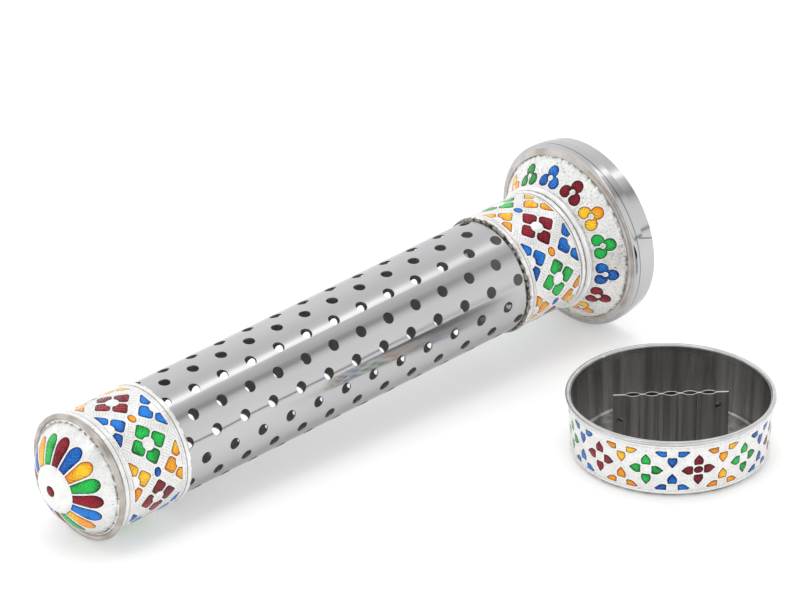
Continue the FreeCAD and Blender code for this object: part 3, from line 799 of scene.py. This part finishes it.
for band_name in ("lower", "upper"):
    foot, top, _, widest = reach_of(band_name + "_band", TOWER)
    ground = widest - BAND_EDGE
    wrap = RoundSurface(TOWER, [(ground, foot), (ground, top)], first_reach=foot)
    first, middle = FIRST_FLOWER[band_name], BAND_MIDDLE[band_name]
    pads = lattice_pads(KITE, PLACES, (first, FLOWER_STEP / 2), middle, LATTICE_HALF, LATTICE_CLIP,
                        ("maroon", "green"), ("amber", "blue"), ("blue", "amber"))
    stamped = band_relief(wrap, first, middle, foot, top)
    tube_end = top if band_name == "lower" else foot
    stamped_sheet(band_name + "_sleeve", wrap, pads, stamped, [band_name + "_band"], columns=640,
                  reach_step=0.27, thickness=ground - TUBE_RADIUS - TUBE_GAP,
                  marks_and_shade=edge_shade(tube_end, EDGE_SHADE_SEEDS[band_name]))
    inlay(band_name, wrap, pads)

# %% [markdown]
# ## The skirt
# The skirt flares from the tube to the foot ring and carries a ring of trefoils, blue, green, amber
# and maroon in turn. Towards the foot ring the sheet is chattered: fine radial marks left by the tool
# that rolled the ring's lip over it.

# %% Make the skirt
TREFOILS, FIRST_TREFOIL, TREFOIL_HEIGHT = 14, 4.3, 18.9
SKIRT_COLOURS = ["blue", "green", "amber", "maroon"]
SKIRT_EDGE, SKIRT_FOOT, SKIRT_LOW = 39.7, 39.1, 10.75
SKIRT_NECK, SKIRT_HIGH, SKIRT_TOP = 26.0, 23.4, 24.2

skirt_flare = RoundSurface(TOWER, [(SKIRT_EDGE, SKIRT_LOW), (SKIRT_FOOT, SKIRT_LOW),
                                   (SKIRT_NECK, SKIRT_HIGH), (SKIRT_NECK, SKIRT_TOP)],
                           first_reach=SKIRT_FOOT - SKIRT_EDGE)
flare_length = skirt_flare.reaches[2]
trefoil_reach = flare_length * (TREFOIL_HEIGHT - SKIRT_LOW) / (SKIRT_HIGH - SKIRT_LOW)
skirt_pads = [Pad(FIRST_TREFOIL + number * 360 / TREFOILS, trefoil_reach, TREFOIL,
                  SKIRT_COLOURS[number % 4]) for number in range(-8, TREFOILS - 8)]
CHATTER_COUNTS, CHATTER_TOP, LIP_CREASE = (97, 131, 173), 5.5, 2.9
FULL_TURN = 6.28
chatter_phases = np.random.default_rng(5).uniform(0, FULL_TURN, len(CHATTER_COUNTS))


def skirt_relief(turn, reach, gap):
    """Radial chatter by the foot, which fades out up the slope, and a hammered grain all over."""
    fade = np.clip((CHATTER_TOP - reach) / 5.0, 0, 1) * (reach > 0.2)
    waves = sum(np.cos(np.radians(turn) * count + phase)
                for count, phase in zip(CHATTER_COUNTS, chatter_phases))
    waves = waves * (0.6 + 0.4 * blotches(turn.shape, 18, 5))
    grain = 0.03 * blotches(turn.shape, 13, 1)
    return grain + 0.06 * waves * fade + 0.06 * ridge(reach - flare_length + 1.2, 0.3)


def skirt_grain_and_shade(turn, reach):
    """Painted shade along the ring's lip and in the groove by the collar, and a faint grey tone and fine
    grain all over.
    """
    broken = np.clip(0.5 + 0.5 * blotches(turn.shape, 14, 4), 0, 1)
    grain = np.clip(0.35 * blotches(turn.shape, 15, 1) - 0.4, 0, 0.5)
    # Painted shade: dark lines along the lip's crease and the collar's groove.
    crease_shade = broken * (0.9 * ridge(reach - LIP_CREASE, 0.7) + 0.4 * ridge(reach - flare_length, 0.6))
    return 0.05 + grain + crease_shade


stamped_sheet("skirt_sheet", skirt_flare, skirt_pads, skirt_relief, ["skirt"],
              columns=800, reach_step=0.3, thickness=0.5, marks_and_shade=skirt_grain_and_shade)
inlay("skirt", skirt_flare, skirt_pads)

# %% [markdown]
# ## The dome
# Sixteen long petals ring a plain boss with a small dot in its middle. The dome is part of a sphere,
# so its profile is an arc, and reach runs from the rim up to the boss.

# %% Make the dome
PETALS, FIRST_PETAL = 16, -2.0
DOME_COLOURS = ["maroon", "green", "amber", "blue"]
DOME_FOOT, DOME_RADIUS, DOME_RISE = 289.0, 24.4, 14.5
BOSS_RADIUS, BOSS_RISE, PETAL_MIDDLE = 10.2, 0.5, -17.8
sphere = (DOME_RADIUS ** 2 + DOME_RISE ** 2) / (2 * DOME_RISE)
sphere_middle = DOME_FOOT + DOME_RISE - sphere


def dome_arc(from_radius, to_radius, swell, steps):
    """Profile corners on the dome's sphere between two radii."""
    ball = sphere + swell
    start, end = math.asin(from_radius / ball), math.asin(to_radius / ball)
    return [(ball * math.sin(a), sphere_middle + ball * math.cos(a))
            for a in np.linspace(start, end, steps)]


FLANGE, FLANGE_DROP = 1.0, 0.3
rim_reach = -sphere * math.asin(DOME_RADIUS / sphere)
dome_skin = RoundSurface(TOWER, [(DOME_RADIUS + FLANGE, DOME_FOOT - FLANGE_DROP)]
                         + dome_arc(DOME_RADIUS, BOSS_RADIUS - 0.3, 0.0, 60),
                         first_reach=rim_reach - math.hypot(FLANGE, FLANGE_DROP))
dome_pads = [Pad(FIRST_PETAL + number * 360 / PETALS, PETAL_MIDDLE, turned_about(DOME_PETAL, -90),
                 DOME_COLOURS[number % 4]) for number in range(PETALS)]


def dome_relief(turn, reach, gap):
    """A hammered grain, and a slightly uneven rim that is beaten down to the hoop."""
    uneven = np.cos(np.radians(turn) * 23) + np.cos(np.radians(turn) * 37 + 1)
    return 0.02 * blotches(turn.shape, 15, 1) + 0.05 * uneven * np.clip((-26.0 - reach) / 3.0, 0, 1)


def dome_ticks_and_shade(turn, reach):
    """Small ticks of dirt, thickest by the hoop, and painted shade in the crevice beside the hoop."""
    near_rim = np.clip((-25.0 - reach) / 4.0, 0, 1)
    ticks = blotches(turn.shape, 16, 2) - 3.1 + 1.3 * near_rim
    # Painted shade: a dark line in the crevice by the hoop.
    crevice_shade = ridge(reach + 29.7, 0.4) * (0.6 + 0.5 * blotches(turn.shape, 19, 5))
    return np.clip(ticks, 0, 1) + np.clip(crevice_shade, 0, 1)


stamped_sheet("dome_skin", dome_skin, dome_pads, dome_relief, ["dome_cap"],
              columns=520, reach_step=0.3, thickness=0.5, marks_and_shade=dome_ticks_and_shade)
inlay("dome", dome_skin, dome_pads)

# %% [markdown]
# ## The boss
# The boss is a shallow cap over the dome's top, and the dot in its middle is a drop of enamel. Both
# are plain turned shapes, so a profile with its ends on the axis is spun round into a closed solid.

# %% A turned piece
def turned_piece(name, corners, finish, stands_for, columns=96, place=TOWER, body="tower"):
    """A solid turned from a profile whose first and last corners lie on the axis."""
    angles = np.arange(columns) * 2 * math.pi / columns
    own = [(0.0, 0.0, corners[0][1])]
    for radius, height in corners[1:-1]:
        own += [(radius * math.cos(a), radius * math.sin(a), height) for a in angles]
    own.append((0.0, 0.0, corners[-1][1]))
    faces, rings = [], len(corners) - 2
    for number in range(columns):
        after = (number + 1) % columns
        faces.append([0, 1 + after, 1 + number])
        for step in range(rings - 1):
            base = 1 + step * columns
            faces.append([base + number, base + after, base + columns + after, base + columns + number])
        last = 1 + (rings - 1) * columns
        faces.append([last + number, last + after, len(own) - 1])
    points = [place @ (Vector(point) * MM) for point in own]
    return make_piece(name, points, faces, finish, body, stands_for)


# %% Make the boss and its dot
crown_top = sphere_middle + sphere + BOSS_RISE
boss_foot = dome_arc(BOSS_RADIUS, 0.1, 0.0, 2)[0][1] - 0.3
boss_profile = [(0.0, DOME_FOOT + DOME_RISE - 0.4), (BOSS_RADIUS, boss_foot)]
boss_profile += dome_arc(BOSS_RADIUS, BOSS_RADIUS - 0.4, BOSS_RISE - 0.25, 3)
boss_profile += dome_arc(BOSS_RADIUS - 0.6, 0.2, BOSS_RISE, 16)
boss_profile.append((0.0, crown_top))
turned_piece("dome_crown", boss_profile, "embossed_silver", ["dome_boss"])

DOT_RADIUS = 2.5
dot_profile = [(0.0, crown_top - 0.3)]
dot_profile += [(DOT_RADIUS * math.cos(a), crown_top - 0.2 + 0.42 * math.sin(a))
                for a in np.linspace(0, 1.5, 8)]
dot_profile.append((0.0, crown_top + 0.22))
dome_dot = turned_piece("dome_dot", dot_profile, "enamel_maroon", ["boss_enamel_maroon"])
dot_x, dot_y, _ = ((corners_in(dome_dot) - TOWER_START) @ TOWER_AXES / MM).T
store(dome_dot, "cell_depth", DOT_RADIUS - np.hypot(dot_x, dot_y))
store(dome_dot, "vein", np.zeros(len(dot_x)))

# %% [markdown]
# ## Rolled edges
# Four rings close the tower's joints: a plain hoop round the dome, a soft white roll between the
# lower band and the skirt, the foot ring's own lip, folded over the skirt's edge, and a scorched line
# of solder where the tube goes into the lower band. Each is a closed profile turned about the tower's
# line. A slow wave in its size keeps it from looking machined.

# %% A rolled ring and its profile
def rolled_ring(name, profile, finish, stands_for, wave, columns=300):
    """A closed profile of (radius, height) corners turned into a ring on the tower."""
    angles = np.arange(columns) * 2 * math.pi / columns
    swell = wave * (np.cos(5 * angles + 1) + 0.6 * np.cos(13 * angles) + 0.4 * np.cos(31 * angles + 2))
    radii, heights = np.array(profile).T
    radius = radii[:, None] + swell
    own = np.stack([radius * np.cos(angles), radius * np.sin(angles),
                    heights[:, None] + 0 * angles], axis=-1).reshape(-1, 3)
    points = own * MM @ TOWER_AXES.T + TOWER_START
    piece = make_piece(name, points, grid_faces(len(profile), columns), finish, "tower", stands_for)
    store(piece, "shade_and_marks", np.zeros(len(points)))


def oval_profile(radius, height, half_radial, half_axial, steps=24):
    """Corners of an oval, from its outer side upwards."""
    return [(radius + half_radial * math.cos(a), height + half_axial * math.sin(a))
            for a in np.arange(steps) * 2 * math.pi / steps]


# %% Make the rolled edges
HOOP = oval_profile(26.55, 288.4, 1.25, 1.35)
COLLAR = oval_profile(26.35, 25.25, 1.55, 1.2)
LIP = [(40.1, 11.2), (39.9, 11.7), (39.6, 12.05), (39.2, 12.2), (38.9, 12.1), (38.6, 12.35),
       (38.1, 12.75), (37.6, 12.9), (37.2, 12.75), (37.1, 12.5), (37.9, 11.6), (39.0, 10.9)]
SOLDER = oval_profile(25.35, reach_of("lower_band", TOWER)[1] + 0.15, 0.55, 0.5, steps=10)

rolled_ring("dome_hoop", HOOP, "rolled_steel", ["dome_bead"], wave=0.06)
rolled_ring("collar_roll", COLLAR, "embossed_silver", ["collar_bead"], wave=0.1)
rolled_ring("foot_lip", LIP, "rolled_steel", [], wave=0.05)
rolled_ring("band_solder", SOLDER, "scorched_steel", [], wave=0.16)

# %% [markdown]
# ## The cup's band
# The cup's sleeve is smoother than the tower's: leaf petals in crosses of four, with half flowers
# between them along both edges. The enameller ran one flower's colour over its middle too.

# %% Make the cup's band
CUP_FLOWERS, CUP_FIRST, CUP_MIDDLE, CUP_HALF, CUP_CLIP = 12, -89.0, 12.9, 8.6, 9.4
FILLED_PLACE = -2
band_foot, band_top, band_inner, band_widest = reach_of("cup_band", CUP)
BAND_SHEET = 0.5
cup_wall = RoundSurface(CUP, [(band_inner + BAND_SHEET, band_foot), (band_widest, band_top)],
                        first_reach=band_foot)
CUP_STEP = 180 / CUP_FLOWERS
cup_cells = lattice_pads(LEAF, range(2 * CUP_FLOWERS), (CUP_FIRST, CUP_STEP), CUP_MIDDLE, CUP_HALF,
                         CUP_CLIP, ("green", "maroon"), ("blue", "amber"))
cup_cells.append(Pad(CUP_FIRST + FILLED_PLACE * CUP_STEP, CUP_MIDDLE, OVAL * 0.95, "maroon"))


def cup_relief(turn, reach, gap):
    """A fine bead along each edge."""
    edge = np.minimum(reach - band_foot, band_top - reach)
    return 0.02 * blotches(turn.shape, 17, 1) + 0.2 * np.sqrt(np.clip(1 - (2 * edge - 1) ** 2, 0, 1))


stamped_sheet("cup_sleeve", cup_wall, cup_cells, cup_relief, ["cup_band"],
              columns=900, reach_step=0.27, thickness=BAND_SHEET - 0.05, body="cup")
inlay("cup", cup_wall, cup_cells, body="cup")

# %% [markdown]
# ## Weld marks on the clip
# The clip's two strips are spot-welded together at each end. A spot weld leaves a shallow round dimple
# with a raised lip, darker than the sheet. Each mark is a thin turned disc set on the front strip.

# %% Make the weld marks
def clip_face():
    """The matrix of the clip's front face: X runs along the clip, and Z points away from the face."""
    corners = corners_of("clip_front")
    flat = corners[:, :2] - middle_of("clip_front").xy
    along = np.linalg.svd(flat, full_matrices=False)[2][0]
    along = Vector((*along, 0.0)) * math.copysign(1.0, along[0])
    outward = along.cross(Vector((0, 0, 1)))
    return Matrix((along, outward.cross(along), outward)).transposed().to_4x4()


CLIP_FACE, CLIP_SHEET = clip_face(), 0.45
WELDS = {"left": (-21.0, 14.4), "right": (20.0, 20.3)}
WELD_PROFILE = [(0.0, -0.2), (1.5, -0.2), (1.5, 0.03), (1.35, 0.12), (1.1, 0.14), (0.85, 0.05), (0.5, 0.02),
                (0.0, 0.02)]

for side, (along, height) in WELDS.items():
    spot = CLIP_FACE @ Matrix.Translation(Vector((along, height, CLIP_SHEET)) * MM)
    turned_piece("weld_" + side, WELD_PROFILE, "scorched_steel", [],
                 columns=36, place=spot, body="cup")

# %% [markdown]
# ## The floor, the light and the camera
# The floor is a light table: plain, pale and lit a little from below, so that its shadows stay thin.
# The light is a tent of soft strips that run along the tower: polished metal shows nothing but its
# surroundings, so the tent's bright and dark strips are what draw the tube's long highlight and the
# shaded line under it. A camera ray that misses the floor sees plain white. The camera has a long
# lens, as for a small product, so that the tower's far end hardly shrinks.

# %% Floor
mesh = bpy.data.meshes.new("floor")
half = 6.0
mesh.from_pydata([(-half, -half, 0), (half, -half, 0), (half, half, 0), (-half, half, 0)], [],
                 [(0, 1, 2, 3)])
piece = bpy.data.objects.new("floor", mesh)
bpy.context.scene.collection.objects.link(piece)
tree, shader = new_finish("floor_white", (0.74, 0.74, 0.74), 0.0, 0.6)
shader.inputs["Emission Color"].default_value = (1.0, 1.0, 1.0, 1.0)
shader.inputs["Emission Strength"].default_value = 0.28
shader.inputs["Specular IOR Level"].default_value = 0.1
mesh.materials.append(FINISH["floor_white"])

# %% Light tent
# Each strip is an angle from straight up towards +Y, and a brightness. The strips run along X.
TENT = [(-180, 1.0), (-91, 0.45), (-87.5, 0.45), (-86, 1.2), (-51, 1.1), (-43, 0.92), (-36, 0.52),
        (-34, 0.5), (-27, 0.62), (-19, 0.84), (-11, 1.1), (-6, 1.8), (-1, 1.95), (4, 1.3), (9, 1.02),
        (21, 0.98), (55, 1.15), (90, 1.25), (180, 1.0)]
TENT_STRENGTH = 2.5

world = bpy.data.worlds.new("light_tent")
bpy.context.scene.world = world
world.use_nodes = True
tree = world.node_tree
parts = add(tree, "SeparateXYZ", {"Vector": add(tree, "TexCoord", {}).outputs["Generated"]})
angle = maths(tree, "ARCTAN2", parts.outputs[1], parts.outputs[2])
share = add(tree, "MapRange", {"Value": angle, "From Min": -math.pi, "From Max": math.pi})
ramp = add(tree, "ValToRGB", {"Fac": share.outputs["Result"]})
stops = ramp.color_ramp.elements
stops[0].position, stops[1].position = 0.0, 1.0
for degrees, _ in TENT[1:-1]:
    stops.new(degrees / 360 + 0.5)
for stop, (_, brightness) in zip(stops, TENT):
    stop.color = (*[brightness / TENT_STRENGTH] * 3, 1.0)
seen = add(tree, "LightPath", {}).outputs["Is Camera Ray"]
colour = mixed(tree, seen, ramp.outputs["Color"], (1.0 / TENT_STRENGTH,) * 3)
background = tree.nodes["Background"]
tree.links.new(colour, background.inputs["Color"])
background.inputs["Strength"].default_value = TENT_STRENGTH
print("light tent:", len(TENT), "stops")

# %% Soft lamp
# A broad lamp overhead whitens the floor. Metal doesn't mirror it.
lamp = bpy.data.lights.new("soft_lamp", "AREA")
lamp.shape = "RECTANGLE"
lamp.size, lamp.size_y, lamp.energy = 1.6, 1.2, 7.0
holder = bpy.data.objects.new("soft_lamp", lamp)
holder.location = (-0.1, 0.3, 1.5)
holder.visible_glossy = False
bpy.context.scene.collection.objects.link(holder)
bpy.context.scene.view_settings.view_transform = "Standard"

# %% Camera
lens = bpy.data.cameras.new("camera")
lens.lens, lens.sensor_width = 300.0, 36.0
lens.clip_end = 50.0
holder = bpy.data.objects.new("camera", lens)
eye, aim = Vector((-1.7421, -1.7004, 1.3456)), Vector((0.0127, 0.1783, 0.0))
holder.location = eye
holder.rotation_euler = (aim - eye).to_track_quat("-Z", "Y").to_euler()
bpy.context.scene.collection.objects.link(holder)
bpy.context.scene.camera = holder
print("camera", round((aim - eye).length, 2), "m away")
